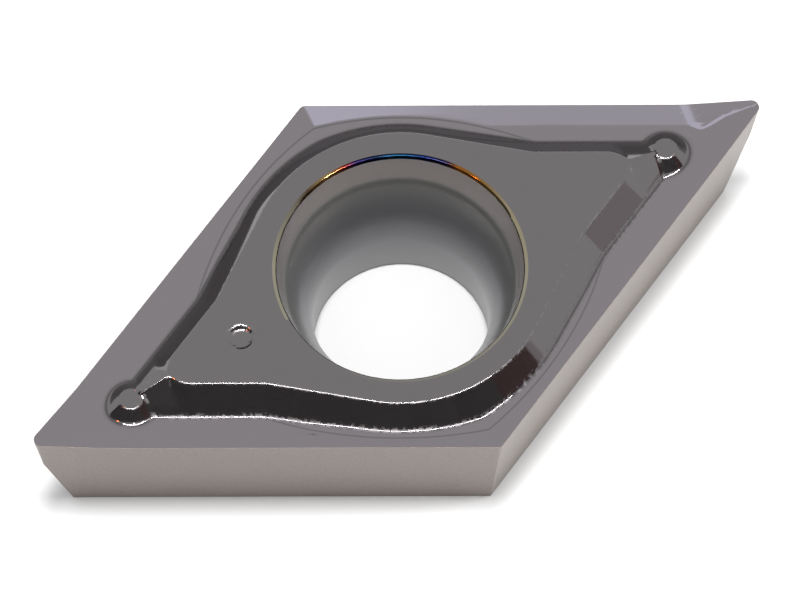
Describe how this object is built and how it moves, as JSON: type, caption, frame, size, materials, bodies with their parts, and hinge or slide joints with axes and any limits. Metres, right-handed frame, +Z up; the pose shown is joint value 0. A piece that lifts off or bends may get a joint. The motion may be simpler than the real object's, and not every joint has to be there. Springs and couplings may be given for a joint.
{
  "type": "turning insert",
  "caption": "Rhombic indexable turning insert with relieved flanks, ground chip grooves, a raised plateau with nose ridges, and a screw hole with a curved seat.",
  "frame": {"origin": "on the screw hole's axis, in the flat bottom seat face", "axes": "+Z up along the hole's axis, away from the seat face; X along the long diagonal through the acute noses, with the round index mark on the -X half; Y along the short diagonal"},
  "size_m": [0.0202, 0.0106, 0.0042],
  "materials": {
    "coated_carbide": "ground cemented carbide under a thin dark grey-violet hard coating, satin on the flanks and smoother on top"
  },
  "bodies": {
    "root": {"insert": "coated_carbide"}
  },
  "joints": []
}
